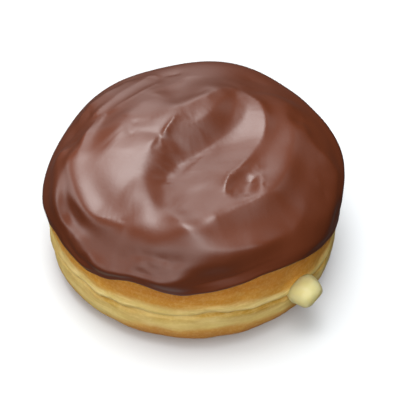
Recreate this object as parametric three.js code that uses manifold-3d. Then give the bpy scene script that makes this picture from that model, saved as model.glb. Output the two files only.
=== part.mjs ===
// A filled yeast doughnut with a thick chocolate icing and a lump of custard at its filling hole.
// Millimetres, +Z up. The origin is the centre of the flat underside; the front, with the custard
// to its right, faces -Y. Three solids: the dough, the icing that caps it, and the custard, which
// runs from the lump outside, through the filling hole, to the pocket in the middle.
import * as THREE from 'three';
import { mergeVertices } from 'three/addons/utils/BufferGeometryUtils.js';
import Module from 'manifold-3d';

const wasm = await Module();
wasm.setup();

// ---------------------------------------------------------------- driving dimensions, mm
const DOUGH_R = 42.6;            // radius of the side
const FLAT_R = 24;               // radius of the flat underside
const BELLY_Z = 11.7;            // height where the lower half is widest
const CREASE_DEPTH = 0.7;        // the pale crease around the side
const CREASE_W = 0.7;
const LIP_PROUD = 0.35;          // the lip above the crease stands out this much
const SHOULDER_Z = 27.5;         // where the side turns into the dome
const ICING_TOP = 48.0;          // height of the icing's smooth dome
const ICING_T = 6.0;             // mean icing thickness on top, where the swirls are thickest
const ICING_SIDE_T = 2.2;        // icing thickness at the shoulder
const ICING_EDGE_T = 1.9;        // and just above its lower edge
const TUCK_H = 4, TUCK_IN = 0.7; // the icing draws in over this height above its lower edge
const BEAD_H = 0.5, BEAD_OUT = 0.08; // and ends in a faint bead
const RIM_ROUND = 0.6;
const UNDER_IN = 2.8;            // the dough is narrower by this under the icing, whose swirls need the depth
const MAP = 50;                  // mm down the dome from the top to the shoulder
const HELD_MID = 12, HELD_SHOULDER = 2.8; // the most that the icing stands off the smooth dome, in the middle and at the shoulder
const GAP = 0.3;                 // clearance between touching pieces
const DOME_EZ = 1.6, DOME_ER = 3.0; // superellipse powers of the dome
const HOLE_AZ = -44;             // azimuth of the filling hole, degrees
const HOLE_Z = 12.9;
const CHANNEL_R = 3.3;
const POCKET = [20.5, 20.5, 9.5];
const POCKET_Z = 21;
const LUMP = [6.1, 5.6, 4.4], LUMP_POWER = 2.2; // half sizes of the custard lump: outwards, along the side, up
// its blunt facets: direction (outwards, sideways, up) and distance from its middle
const LUMP_FACETS = [[0.86, 0.13, -0.5, 4.15], [0.35, 0.86, 0.38, 5.3], [0.11, -0.77, -0.63, 4.5], [1, 0, 0.1, 5.4]];
const LUMP_OUT = 44.6;           // distance of its middle from the axis
const ICING_RINGS = 21, SIDE_N = 96;
const DOUGH_N = 64, DOME_RINGS = 7;

const rad = THREE.MathUtils.degToRad;
const smooth = (t) => { t = Math.min(1, Math.max(0, t)); return t * t * (3 - 2 * t); };
const waves = (list, t) => list.reduce((s, [k, c, d]) => s + c * Math.cos(k * t) + d * Math.sin(k * t), 0);

// ---------------------------------------------------------------- outlines, as sums of waves round the axis
// icing outline at the shoulder, radius by azimuth: [wave number, cosine part, sine part]
const icingR = (t) => 44.93 + waves([[1, 0.44, 0.97], [2, -0.89, 0.8], [3, -0.43, -0.39], [4, 0.03, 0.14], [5, 0.16, -0.02], [6, 0.06, 0.55]], t);
const doughR = (t) => DOUGH_R + waves([[1, -0.25, 0], [2, 0.15, 0.1], [3, -0.12, 0.15]], t);
// a height that changes smoothly round the axis, from [azimuth in degrees, height] rows
const roundTable = (rows) => {
  const n = rows.length, X = (i) => rows[((i % n) + n) % n][0] + 360 * Math.floor(i / n), Y = (i) => rows[((i % n) + n) % n][1];
  const slope = (i) => (Y(i + 1) - Y(i - 1)) / (X(i + 1) - X(i - 1));
  return (t) => {
    let d = THREE.MathUtils.radToDeg(t), i = 0;
    d -= 360 * Math.floor((d - rows[0][0]) / 360);
    while (i + 1 < n && rows[i + 1][0] <= d) i++;
    const h = X(i + 1) - X(i), s = (d - X(i)) / h;
    return (2 * s ** 3 - 3 * s ** 2 + 1) * Y(i) + (s ** 3 - 2 * s ** 2 + s) * h * slope(i) + (3 * s ** 2 - 2 * s ** 3) * Y(i + 1) + (s ** 3 - s ** 2) * h * slope(i + 1);
  };
};
const creaseZ = roundTable([
  [-175, 13.6], [-150, 13.4], [-130, 13.5], [-120, 13.7], [-110, 14], [-98, 13.9], [-90, 14.7], [-81, 15.5], [-71, 14.6], [-64, 13.8], [-56, 13.3], [-45, 12.9],
  [-35, 12.6], [-25, 12.2], [-15, 12.8], [0, 13.4], [30, 13.9], [60, 13.3], [90, 13.8], [120, 13.3], [150, 13.8],
]);
// lower edge of the icing: its runs and hollows
const edgeZ = roundTable([
  [-175, 21.8], [-163, 23.1], [-154, 24.6], [-149, 23.4], [-142, 22.4], [-135, 21.6], [-130, 22.2], [-124, 23.2], [-119, 25], [-114, 26.3], [-109, 26.3], [-105, 25.6],
  [-100, 24.8], [-94, 24.3], [-88, 25], [-81, 25.6], [-71, 27], [-64, 28.1], [-57, 27.9], [-49, 27], [-44, 25.7], [-40, 24.7], [-36, 23.5], [-31, 22.1],
  [-27, 21.3], [-19, 19.5], [-12, 19.1], [0, 19.5], [12, 20.3], [30, 21.4], [50, 22.9], [75, 21.5], [100, 22.8], [125, 21.3], [150, 22.5],
]);

// ---------------------------------------------------------------- swirls in the icing
// Each is one drag of the spatula, a ridge or furrow that follows a line through a few places on the
// unrolled dome (mm, x to the right, y to the back, MAP mm from the top to the shoulder), with its
// height at even steps, and how far it spreads to the left and right of its line. A power near 1
// makes a sharp crest, 2 a round one.
const SWIRLS = {
  // name: [heights, left, right, power, places]
  hook: [[2.68, 1.28, 2.64, 0.04, 0.03, 1.69, 0.1], 11.84, 2.27, 1.2, [[9.76, -15.95], [12.54, -12.56], [18.86, 0.51], [17.41, 8.64], [13.45, 13.05], [7.5, 21.98], [12.26, 19.38], [-6.2, 0.1]]],
  dish: [[1.08, 4, 1.26, 0.17, 1.27, 5.92, 5.05, 1.5, 0.36], 6.65, 6.08, 1.3, [[12.22, 15.6], [0.65, 0.1], [-13.44, -0.58], [-11.15, -24.09], [-6.46, -28.06], [4.47, -38.33], [27.68, -30], [33.78, -14.98]]],
  arm: [[-1.15, -0.03, 2.01, 1.84, 2.77, 3.6, 4.26], 5.52, 7, 1.4, [[16.01, 24.93], [22.97, 24.45], [28.41, 19.04], [24.43, 8.95], [27.51, 2.19], [27.08, -8.78], [21.55, -19.48], [19.42, -21.05], [6.05, -29.63]]],
  brim: [[0.3, 2, 0.22, 0.21, 0.58, 0.04, -0.16], 6.98, 1.2, 1.1, [[-32.13, -1.62], [-30.07, -6.3], [-27.18, 6.64], [-26.42, 6.73], [-26.1, 9.76], [-24.95, 9.38], [-18.08, 9.8], [-13.9, 13.49], [-11.2, 16.33], [-4.94, 21.11], [-2.2, 24.43], [5.29, 22.92], [14.96, 19.95]]],
  fold: [[-0.6, 3.9, 2.95, 2.26, -0.88], 6.57, 2.76, 1.2, [[-34.07, -4.46], [-28.32, -24.73], [-18.46, -29.4]]],
  ledge: [[2.67, 3.51, 3.1, 2.19, -0.17], 2.44, 5.93, 1.6, [[-33.81, -9.01], [-35.27, -10.22], [-39.16, -22.34], [-31.78, -34.54]]],
  band1: [[3.28, 3.92, 3.62, 2.55, 0.39], 7.07, 6.88, 1.6, [[-10.63, 12.43], [-19.4, 0.34], [-15.97, -3.61]]],
  band2: [[4.12, 6.59, 2.25, 0.46, -2.62, -1.06], 6.91, 7.65, 1.6, [[3.27, 12.73], [-3.1, 5.53], [-15.91, -1.88], [-12.05, -8.44], [-23.98, -25.97]]],
  crescent: [[0.54, 1.3, 4.24, 4.03, 2.95], 4.01, 11.16, 1.6, [[-28.43, -0.04], [-34.21, -12.76], [-27.21, -28.94], [-19.13, -30.95]]],
  shelf: [[1.41, 0.71, 0.4, 0.66, -0.5], 2.49, 1.65, 1.3, [[-27.7, 9.68], [-13.17, 26.05], [-13.18, 26.89], [-5.45, 28.14]]],
  outer: [[2.1, 1.15, 0.35, -0.69, -0.46], 2.29, 3.66, 1.3, [[-31.85, 14.42], [-19.69, 24.89], [-24.97, 25.91], [-17.37, 29.6]]],
  trough: [[0.07, -1.17, -1.04, -0.89, -2.37], 10.47, 2.59, 1.6, [[12.11, 12.23], [14.51, 6.24], [-6.45, -13.24]]],
  hollow: [[5.22, 1.29, -1.87, -2.97, -3.38], 14.93, 5.03, 1.6, [[-8.7, -5.67], [-7.49, -10.36], [-6.88, -24.2], [-3.48, -25.3]]],
  streak1: [[-0.51, -1.23, -2.34, -0.89], 3.07, 2.9, 1.4, [[-27.17, -40.99], [-11.13, -45.42], [-9.41, -46.2]]],
  streak2: [[-0.99, -0.13, -1.75, -1.56], 3.22, 7.28, 1.4, [[-21.21, -39.38], [-7.41, -45.05], [-4.86, -41.9]]],
  front_swell: [[8.47, 7.91, 4.06, 3.12, 2.38], 15.03, 3.96, 1.6, [[-31.95, -34.12], [-26.9, -40.84], [-16.42, -43.29], [7.86, -40.98]]],
  lip_left: [[-1.3, -0.26, 1.82, 1.62], 11.62, 3.97, 1.4, [[-36.08, 8.27], [-37.61, -3.27], [-33.11, -6.26]]],
  lip_right: [[-0.28, 1.01, 1.63, 1.48, 1.03, 0.85, 0.67], 4.46, 6.33, 1.4, [[28.56, 8.88], [30.35, 10.29], [31.45, 4.28], [34.63, 1.77], [39.78, 0.1], [44.53, -1.64], [44.57, -1.39], [45.63, -11.87], [43.52, -17.77], [36.68, -24.18]]],
  bulge_right: [[0.51, 0.84, 1, 1.3, -0.5], 8.77, 2.96, 2, [[32.33, 25.63], [47.32, 9.62], [51.4, -8.07], [48.71, -16.82]]],
  streak3: [[-0.63, -1.05, -1.53, -0.34, -0.08], 3.11, 2.25, 1.5, [[-17.19, -38.44], [-12.71, -39.21], [-0.81, -43.81]]],
  rim_front: [[0.47, 1.04, -0.3, 0.29, 0.91, 0.09], 1.9, 2.1, 1.6, [[-38.86, -28.1], [-34.63, -36.85], [-11.89, -46.81], [2.38, -45.42]]],
  pit: [[0.17, 0.36, 0.69, 0.87, 0.3, 0.14, 0.1], 1.45, 1.19, 1.2, [[14.08, -9.7], [12.6, -11.96], [11.75, -13.62], [11.89, -13.87], [10.03, -14.76], [8.57, -22.1], [11.86, -22.07], [15.41, -23.37]]],
  pit_bowl: [[-0.51, -0.69, -1.35], 4.16, 1.97, 2, [[10.2, -17.17], [12.13, -21.35], [14.37, -20.58]]],
  pit_peak: [[0.34, -0.14, 0.39, -0.59, -1.66], 2.47, 4.36, 1.3, [[17.63, -11.51], [18.63, -14.8], [17.4, -15.12], [17.71, -14.46], [15.4, -16.87]]],
  pit_curl: [[-0.04, 1.16, 0.59], 2.9, 5.14, 1.3, [[19.16, -18.68], [16.58, -18.15], [16.49, -18.04]]],
  bubble: [[0.6, -0.68, -0.46], 1.92, 0.7, 2, [[-7.6, -4.12], [-7.36, -3.57], [-10.31, -7.65]]],
  bubble_rim: [[0.68, 1.17, -0.06, -0.3, -0.04], 1.16, 0.8, 1.3, [[-5.37, 0.48], [-5.26, 0.5], [-9.4, -7.42], [-6.93, -6.94], [-11.46, -10.15]]],
  thin1: [[-0.29, 0.46, 0.48, 0.46, -0.11, 0.2], 1.46, 1.61, 1.2, [[-9.05, 27.07], [-9.77, 21.8], [-11.88, 18.66], [-15.19, 15.01], [-18.87, 12.21], [-20.4, 11.29], [-25.67, 6.58], [-26.91, 1.71], [-27.62, -0.78]]],
  thin2: [[0.01, 0.27, 0.47, 0.17], 0.7, 0.7, 1.3, [[-22.99, 7.82], [-25.39, 8.42], [-25.08, 7.32], [-25.47, 7.4], [-27.24, 1.46]]],
  thin3: [[0.37, -0.03, -0.06, 0.37], 1.37, 1.85, 1.3, [[3.16, 8.11], [5.32, 10.99], [6.94, 12.83], [10.5, 14.5]]],
  facet_a: [[-0.04, -1.06, -0.76, -0.5], 0.95, 2.46, 1.4, [[-33.11, 12.04], [-31.16, 14.86], [-30.28, 11.83]]],
  facet_b: [[0.66, 0.84, 0.89, 1.13], 1.75, 2.3, 1.4, [[-40.11, 0.28], [-38.51, 1.17], [-36.28, -2.51]]],
  flank: [[-0.3, -0.25, -0.03, 0.27, -0.27], 2.71, 3.67, 1.3, [[37.43, 2.87], [36.61, -2.18], [37.29, -8.37], [40.68, -13.2]]],
  streak4: [[-0.73, -0.68, -0.77, -0.36], 2.65, 1.78, 1.5, [[-13.44, -41.43], [-11.99, -42.48], [-7.43, -43.57], [-6.33, -44.22]]],
};
// broad unevenness of the dome: [waves across, waves front to back, height]
const WAVES = [
  [0, 1, 1.56], [0, 2, 3.31], [0, 3, 2.43], [0, 4, 1.55], [0, 5, 1.46], [0, 6, 0.96], [0, 7, 0.52], [1, 0, 2.17], [1, 1, 1.75],
  [1, 2, 3.27], [1, 3, 1.88], [1, 4, 2.52], [1, 5, 1], [1, 6, 0.59], [2, 0, 3.53], [2, 1, 5.01], [2, 2, 3.46], [2, 3, 3.23],
  [2, 4, 2.26], [2, 5, 0.77], [3, 0, 1.9], [3, 1, 2.07], [3, 2, 3.25], [3, 3, 1.61], [3, 4, 1.26], [4, 0, 1.59], [4, 1, 3.12],
  [4, 2, 2.65], [4, 3, 0.71], [5, 0, 1.55], [5, 1, 2.07], [5, 2, 1.83], [6, 0, 0.91], [6, 1, 0.87], [7, 0, 0.26],
];
const lines = Object.values(SWIRLS).map(([high, left, right, power, places]) => {
  const v = places.map(([x, y]) => new THREE.Vector3(x, y, 0));
  const length = v.slice(1).reduce((s, p, i) => s + p.distanceTo(v[i]), 0);
  const curve = new THREE.CatmullRomCurve3(v, false, 'centripetal');
  curve.arcLengthDivisions = 400;
  return { high, left, right, power, points: curve.getSpacedPoints(Math.round(Math.min(110, Math.max(14, length / 1.3)))) };
});
const knots = (list, f) => {
  const x = f * (list.length - 1), i = Math.min(list.length - 2, Math.floor(x));
  return list[i] + (list[i + 1] - list[i]) * smooth(x - i);
};
// swirls are deep in the middle of the dome and shallower where it turns down
const held = (height, share) => {
  const most = HELD_MID + (HELD_SHOULDER - HELD_MID) * smooth((share - 0.45) / 0.3);
  return most * Math.tanh(height / most);
};
function relief(x, y) {
  let total = 0;
  for (const [i, j, a] of WAVES) total += a * Math.cos((Math.PI * i * (x + 56)) / 112) * Math.cos((Math.PI * j * (y + 56)) / 112);
  for (const s of lines) {
    const n = s.points.length - 1, soft = 0.05 * (s.left + s.right) + 0.1, near = [];
    let nearest = Infinity;
    for (let i = 0; i < n; i++) {
      const a = s.points[i], b = s.points[i + 1], dx = b.x - a.x, dy = b.y - a.y, length = Math.hypot(dx, dy);
      const f = Math.min(1, Math.max(0, ((x - a.x) * dx + (y - a.y) * dy) / length ** 2));
      const px = x - a.x - f * dx, py = y - a.y - f * dy, d = Math.hypot(px, py);
      nearest = Math.min(nearest, d);
      near.push([d, (dx * py - dy * px) / (length * Math.max(d, 1e-6)), (i + f) / n]);
    }
    if (nearest > 3.2 * Math.max(s.left, s.right)) continue;
    let sum = 0, shares = 0;
    for (const [d, side, at] of near) {
      const share = Math.exp(nearest - d);
      if (share < 1e-5) continue;
      const width = s.right + (s.left - s.right) * (0.5 + 0.5 * Math.min(1, Math.max(-1, side)));
      sum += share * knots(s.high, at) * Math.exp(-(((Math.sqrt(d * d + soft * soft) - soft) / width) ** s.power));
      shares += share;
    }
    total += sum / shares;
  }
  return held(total, Math.hypot(x, y) / MAP);
}

// ---------------------------------------------------------------- shapes of the surfaces
// dome profile by angle a, from 0 at the shoulder to 90 degrees at the top
const domeR = (a) => Math.max(0, Math.cos(a)) ** (2 / DOME_ER);
const domeZ = (a, high) => SHOULDER_Z + high * Math.sin(a) ** (2 / DOME_EZ);
// share of the way down the dome (0 top, 1 shoulder) to angle a, even along the surface
const domeAngles = (() => {
  const n = 2000, table = [[0, Math.PI / 2]];
  let s = 0, r0 = 0, z0 = domeZ(Math.PI / 2, ICING_TOP - SHOULDER_Z);
  for (let i = 1; i <= n; i++) {
    const a = (Math.PI / 2) * (1 - i / n), r = 44.6 * domeR(a), z = domeZ(a, ICING_TOP - SHOULDER_Z);
    s += Math.hypot(r - r0, z - z0);
    table.push([s, a]);
    r0 = r; z0 = z;
  }
  return (share) => {
    const want = share * s;
    let i = 1;
    while (i < table.length - 1 && table[i][0] < want) i++;
    const [s0, a0] = table[i - 1], [s1, a1] = table[i];
    return a0 + (a1 - a0) * Math.min(1, (want - s0) / (s1 - s0));
  };
})();
const at = (r, t, z) => new THREE.Vector3(r * Math.cos(t), r * Math.sin(t), z);

// dough: radius of the side at height z
function sideR(z, t) {
  const lower = doughR(t);
  if (z < BELLY_Z) return FLAT_R + (lower - FLAT_R) * (1 - ((BELLY_Z - z) / BELLY_Z) ** 3.2) ** (1 / 3.5);
  return lower + (icingR(t) - ICING_SIDE_T - lower) * smooth((z - 17) / (SHOULDER_Z - 17));
}
const creaseAt = (z, t) => {
  const c = z - creaseZ(t);
  return -CREASE_DEPTH * Math.exp(-((c / CREASE_W) ** 2)) + LIP_PROUD * Math.exp(-(((c - 1.8) / 1.2) ** 2));
};
const rimShare = (t) => 1 + (SHOULDER_Z - edgeZ(t) - RIM_ROUND) / MAP;
const aboveRim = (share, t) => (rimShare(t) - share) * MAP;
// A place on the dough or the icing is given by its share of the way down: 0 at the top of the dome,
// 1 at the shoulder, then on down the side. The dough, grown outwards by g:
function doughAt(share, t, g) {
  const under = UNDER_IN * smooth((aboveRim(share, t) - 0.8) / 4);
  if (share <= 1) {
    const a = domeAngles(share);
    return at((icingR(t) - ICING_SIDE_T - under + g) * domeR(a), t, domeZ(a, ICING_TOP - SHOULDER_Z - ICING_T + g));
  }
  const z = SHOULDER_Z - (share - 1) * MAP;
  return at(sideR(z, t) + creaseAt(z, t) - under + g, t, z);
}
// the icing draws in above its lower edge and ends in a bead
const tuck = (share, t) => {
  const e = aboveRim(share, t);
  return TUCK_IN * smooth((TUCK_H - e) / 3.6) - BEAD_OUT * Math.exp(-(((e - BEAD_H) / 0.45) ** 2));
};
// smooth outside of the icing
function icingBase(share, t) {
  if (share <= 1) {
    const a = domeAngles(share);
    return at(icingR(t) * domeR(a) - tuck(share, t), t, domeZ(a, ICING_TOP - SHOULDER_Z));
  }
  const z = SHOULDER_Z - (share - 1) * MAP, f = Math.min(1, (share - 1) / 0.12);
  return at(sideR(z, t) + ICING_SIDE_T + (ICING_EDGE_T - ICING_SIDE_T) * f - tuck(share, t), t, z);
}
// and with the swirls raised along its normal
function icingAt(share, t) {
  const p = icingBase(share, t), e = 0.002, s = Math.max(share, 0.006);
  const u = icingBase(s + e, t).sub(icingBase(s - e, t));
  const v = icingBase(s, t + 0.01).sub(icingBase(s, t - 0.01));
  const n = u.cross(v).normalize();
  return p.addScaledVector(n, relief(MAP * share * Math.cos(t), MAP * share * Math.sin(t)) * smooth(aboveRim(share, t) / 3.5));
}
// even steps from the top to the icing's lower edge
const shareOf = (f, t) => f * (1 + (rimShare(t) - 1) * smooth((f - 0.8) / 0.2));

// ---------------------------------------------------------------- closed surfaces from stacked rings
// The rings run from one pole to the other; neighbours may have different numbers of points.
function ringSolid(rings) {
  const pos = [], idx = [], start = [];
  for (const ring of rings) { start.push(pos.length / 3); for (const p of ring) pos.push(p.x, p.y, p.z); }
  for (let r = 0; r + 1 < rings.length; r++) {
    const n = rings[r].length, m = rings[r + 1].length;
    const A = (i) => start[r] + (i % n), B = (j) => start[r + 1] + (j % m);
    const na = n === 1 ? 0 : n, mb = m === 1 ? 0 : m;
    let i = 0, j = 0;
    while (i < na || j < mb) {
      if (j >= mb || (i < na && (i + 1) / na <= (j + 1) / mb)) { idx.push(A(i), A(i + 1), B(j)); i++; }
      else { idx.push(A(i), B(j + 1), B(j)); j++; }
    }
  }
  const g = new THREE.BufferGeometry();
  g.setAttribute('position', new THREE.Float32BufferAttribute(pos, 3));
  g.setIndex(idx);
  return g;
}
const ring = (n, f) => Array.from({ length: n }, (_, i) => f(-Math.PI + (2 * Math.PI * i) / n));

// where the dough and the inside of the icing face each other: down the dome, then down to the icing's edge
const HIDDEN = [4.8, 2.8, 1.3, 0];
const facing = (g) => [
  [doughAt(0, 0, g)],
  ...Array.from({ length: DOME_RINGS }, (_, k) => ring(8 * (k + 1), (t) => doughAt(((rimShare(t) - HIDDEN[0] / MAP) * (k + 1)) / (DOME_RINGS + 1), t, g))),
  ...HIDDEN.map((e) => ring(DOUGH_N, (t) => doughAt(rimShare(t) - e / MAP, t, g))),
];

function doughGeometry() {
  const rings = [[at(0, 0, 0)], ring(22, (t) => at(14, t, 0)), ring(DOUGH_N, (t) => at(FLAT_R, t, 0))];
  for (const a of [76, 62, 48, 34, 19]) {
    const s = rad(a);
    rings.push(ring(DOUGH_N, (t) => at(FLAT_R + (doughR(t) - FLAT_R) * Math.cos(s) ** (2 / 3.5), t, BELLY_Z * (1 - Math.sin(s) ** (2 / 3.2)))));
  }
  // height above the crease line: belly, crease, lip, then the browned side
  for (const c of [-3.2, -1.4, -0.6, 0, 0.6, 1.5, 2.8, 4.6]) rings.push(ring(DOUGH_N, (t) => { const z = creaseZ(t) + c; return at(sideR(z, t) + creaseAt(z, t), t, z); }));
  // the browned side up to the icing's edge, and on under the icing
  rings.push(ring(DOUGH_N, (t) => { const z = (creaseZ(t) + 4.6 + edgeZ(t)) / 2; return at(sideR(z, t) + creaseAt(z, t), t, z); }));
  return ringSolid([...rings, ...facing(0).reverse()]);
}

function icingGeometry() {
  const rings = facing(GAP).slice(0, -1); // inside, next to the dough
  // rounded lower edge, from the inside to the outside
  for (const b of [180, 120, 60]) {
    rings.push(ring(SIDE_N, (t) => {
      const s = rimShare(t), o = icingAt(s, t), i = doughAt(s, t, GAP);
      const half = o.clone().sub(i).multiplyScalar(0.5);
      const down = icingBase(s + 0.01, t).sub(icingBase(s - 0.01, t)).normalize();
      return o.add(i).multiplyScalar(0.5).addScaledVector(half, Math.cos(rad(b))).addScaledVector(down, RIM_ROUND * Math.sin(rad(b)));
    }));
  }
  // outside: the rim and its bead, then the swirls up to the top
  for (const e of [0, 0.55, 1.3]) rings.push(ring(SIDE_N, (t) => icingAt(rimShare(t) - e / MAP, t)));
  for (let k = ICING_RINGS; k >= 1; k--) rings.push(ring(Math.min(SIDE_N, 6 * k), (t) => icingAt(shareOf((0.955 * k) / ICING_RINGS, t), t)));
  rings.push([icingAt(0, 0)]);
  return ringSolid(rings);
}

// ---------------------------------------------------------------- the custard
const solid = (geometry) => {
  const g = geometry.clone();
  g.deleteAttribute('normal');
  g.deleteAttribute('uv');
  const m = mergeVertices(g, 1e-4);
  return new wasm.Manifold(new wasm.Mesh({ numProp: 3, vertProperties: new Float32Array(m.attributes.position.array), triVerts: new Uint32Array(m.index.array) }));
};
const geometryOf = (manifold) => {
  const m = manifold.getMesh(), g = new THREE.BufferGeometry();
  const v = new Float32Array(m.numVert * 3);
  for (let i = 0; i < m.numVert; i++) for (let k = 0; k < 3; k++) v[i * 3 + k] = m.vertProperties[i * m.numProp + k];
  g.setAttribute('position', new THREE.BufferAttribute(v, 3));
  g.setIndex(new THREE.BufferAttribute(new Uint32Array(m.triVerts), 1));
  return g;
};
// grow is added all round: 0 makes the custard, GAP makes the room for it in the dough
function custardSolid(grow) {
  const az = rad(HOLE_AZ);
  const pocket = new THREE.SphereGeometry(1, 22, 12);
  pocket.rotateX(Math.PI / 2);
  pocket.scale(POCKET[0] + grow, POCKET[1] + grow, POCKET[2] + grow);
  pocket.translate(0, 0, POCKET_Z);
  const from = new THREE.Vector3(10 * Math.cos(az), 10 * Math.sin(az), POCKET_Z - 2);
  const to = at(LUMP_OUT, az, HOLE_Z);
  const channel = new THREE.CylinderGeometry(CHANNEL_R + grow, CHANNEL_R + grow, from.distanceTo(to), 14, 1);
  channel.applyQuaternion(new THREE.Quaternion().setFromUnitVectors(new THREE.Vector3(0, 1, 0), to.clone().sub(from).normalize()));
  channel.translate((from.x + to.x) / 2, (from.y + to.y) / 2, (from.z + to.z) / 2);
  // the lump: an oval with a few blunt facets, where the nozzle left it, sagging a little
  const lump = new THREE.SphereGeometry(1, 24, 16);
  lump.rotateX(Math.PI / 2);
  const p = lump.attributes.position, v = new THREE.Vector3();
  const facets = LUMP_FACETS.map(([x, y, z, far]) => new THREE.Vector3(x, y, z).normalize().divideScalar(far));
  for (let i = 0; i < p.count; i++) {
    v.fromBufferAttribute(p, i).normalize();
    let inverse = (Math.abs(v.x / LUMP[0]) ** LUMP_POWER + Math.abs(v.y / LUMP[1]) ** LUMP_POWER + Math.abs(v.z / LUMP[2]) ** LUMP_POWER) ** (7 / LUMP_POWER);
    for (const f of facets) inverse += Math.max(0, f.dot(v)) ** 7;
    v.multiplyScalar(inverse ** (-1 / 7) + grow);
    const neck = smooth((-v.x - 1) / 5);
    v.set(v.x, v.y * (1 - 0.3 * neck), v.z * (1 - 0.3 * neck));
    p.setXYZ(i, v.x, v.y, v.z);
  }
  lump.rotateZ(az);
  lump.translate(to.x, to.y, to.z);
  return solid(pocket).add(solid(channel)).add(solid(lump));
}

// ---------------------------------------------------------------- the three pieces
const material = (color, roughness) => new THREE.MeshStandardMaterial({ color, roughness, metalness: 0 });
const piece = (name, geometry, mat) => {
  geometry.computeVertexNormals();
  const mesh = new THREE.Mesh(geometry, mat);
  mesh.name = name;
  return mesh;
};
const doughnut = new THREE.Group();
doughnut.add(piece('dough', geometryOf(solid(doughGeometry()).subtract(custardSolid(GAP))), material(0xc8913f, 0.75)));
doughnut.add(piece('icing', icingGeometry(), material(0x6b3a28, 0.35)));
doughnut.add(piece('custard', geometryOf(custardSolid(0)), material(0xe6d98f, 0.5)));

export default doughnut;
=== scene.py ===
import math
import bpy
import numpy as np
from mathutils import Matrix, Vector


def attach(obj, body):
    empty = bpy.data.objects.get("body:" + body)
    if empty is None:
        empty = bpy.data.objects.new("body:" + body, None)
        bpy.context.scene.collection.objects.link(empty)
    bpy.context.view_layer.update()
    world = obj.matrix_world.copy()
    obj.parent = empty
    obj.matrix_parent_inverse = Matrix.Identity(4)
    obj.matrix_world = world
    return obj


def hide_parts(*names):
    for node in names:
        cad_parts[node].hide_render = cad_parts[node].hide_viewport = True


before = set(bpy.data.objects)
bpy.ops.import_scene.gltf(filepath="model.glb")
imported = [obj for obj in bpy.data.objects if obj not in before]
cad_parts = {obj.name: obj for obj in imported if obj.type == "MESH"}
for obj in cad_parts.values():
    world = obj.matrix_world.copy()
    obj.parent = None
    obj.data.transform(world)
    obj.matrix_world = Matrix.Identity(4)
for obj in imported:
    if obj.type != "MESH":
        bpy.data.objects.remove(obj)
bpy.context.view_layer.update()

MM = 0.001
PI = math.pi

# ------------------------------------------------------------------ sizes, mm, as in the CAD
DOUGH_R, FLAT_R, BELLY_Z = 42.6, 24.0, 11.7
CREASE_DEPTH, CREASE_W, LIP_PROUD = 0.7, 0.7, 0.35
SHOULDER_Z, ICING_TOP = 27.5, 48.0
ICING_T, ICING_SIDE_T, ICING_EDGE_T = 6.0, 2.2, 1.9
DOME_EZ, DOME_ER = 1.6, 3.0
TUCK_H, TUCK_IN, BEAD_H, BEAD_OUT, RIM_ROUND = 4.0, 0.7, 0.5, 0.08, 0.6
MAP = 50.0
GAP = 0.3
UNDER_IN = 2.8                   # the dough is narrower by this under the icing
HOLE_AZ = math.radians(-44)
HOLE_Z, LUMP_OUT = 12.9, 44.6
LUMP, LUMP_POWER = (6.1, 5.6, 4.4), 2.2
# blunt facets of the lump: direction (outwards, to the left seen from outside is -, up) and distance from its middle
LUMP_FACETS = [(0.86, 0.13, -0.5, 4.15), (0.35, 0.86, 0.38, 5.3), (0.11, -0.77, -0.63, 4.5), (1.0, 0.0, 0.1, 5.4)]


def waves(rows, t):
    out = np.zeros_like(np.asarray(t, float))
    for k, c, d in rows:
        out = out + c * np.cos(k * t) + d * np.sin(k * t)
    return out


def round_table(rows):
    """Periodic smooth interpolation of (azimuth in degrees, value) rows."""
    rows = sorted(rows)
    x = np.array([r[0] for r in rows], float)
    y = np.array([r[1] for r in rows], float)
    x3 = np.concatenate([x - 360, x, x + 360])
    y3 = np.concatenate([y, y, y])
    m = np.zeros_like(y3)
    m[1:-1] = (y3[2:] - y3[:-2]) / (x3[2:] - x3[:-2])

    def f(t):
        d = (np.degrees(np.asarray(t, float)) + 180) % 360 - 180
        i = np.clip(np.searchsorted(x3, d, side="right") - 1, 0, len(x3) - 2)
        h = x3[i + 1] - x3[i]
        s = (d - x3[i]) / h
        return ((2 * s**3 - 3 * s**2 + 1) * y3[i] + (s**3 - 2 * s**2 + s) * h * m[i]
                + (-2 * s**3 + 3 * s**2) * y3[i + 1] + (s**3 - s**2) * h * m[i + 1])
    return f


def icing_r(t):
    return 44.93 + waves([(1, .44, .97), (2, -.89, .8), (3, -.43, -.39), (4, .03, .14), (5, .16, -.02), (6, .06, .55), (7, -.06, -.01)], t)


def dough_r(t):
    return DOUGH_R + waves([(1, -.25, 0), (2, .15, .1), (3, -.12, .15)], t)


crease_z = round_table([(-175, 13.6), (-150, 13.4), (-130, 13.5), (-120, 13.7), (-110, 14.0), (-98, 13.9), (-90, 14.7), (-81, 15.5), (-71, 14.6),
                        (-64, 13.8), (-56, 13.3), (-45, 12.9), (-35, 12.6), (-25, 12.2), (-15, 12.8), (0, 13.4), (30, 13.9), (60, 13.3), (90, 13.8), (120, 13.3), (150, 13.8)])
edge_z = round_table([(-175, 21.8), (-163, 23.1), (-154, 24.6), (-149, 23.4), (-142, 22.4), (-135, 21.6), (-130, 22.2), (-124, 23.2), (-119, 25.0),
                      (-114, 26.3), (-109, 26.3), (-105, 25.6), (-100, 24.8), (-94, 24.3), (-88, 25.0), (-81, 25.6), (-71, 27.0), (-64, 28.1),
                      (-57, 27.9), (-49, 27.0), (-44, 25.7), (-40, 24.7), (-36, 23.5), (-31, 22.1), (-27, 21.3), (-19, 19.5), (-12, 19.1), (0, 19.5),
                      (12, 20.3), (30, 21.4), (50, 22.9), (75, 21.5), (100, 22.8), (125, 21.3), (150, 22.5)])


def smooth(x):
    x = np.clip(x, 0, 1)
    return x * x * (3 - 2 * x)


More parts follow.
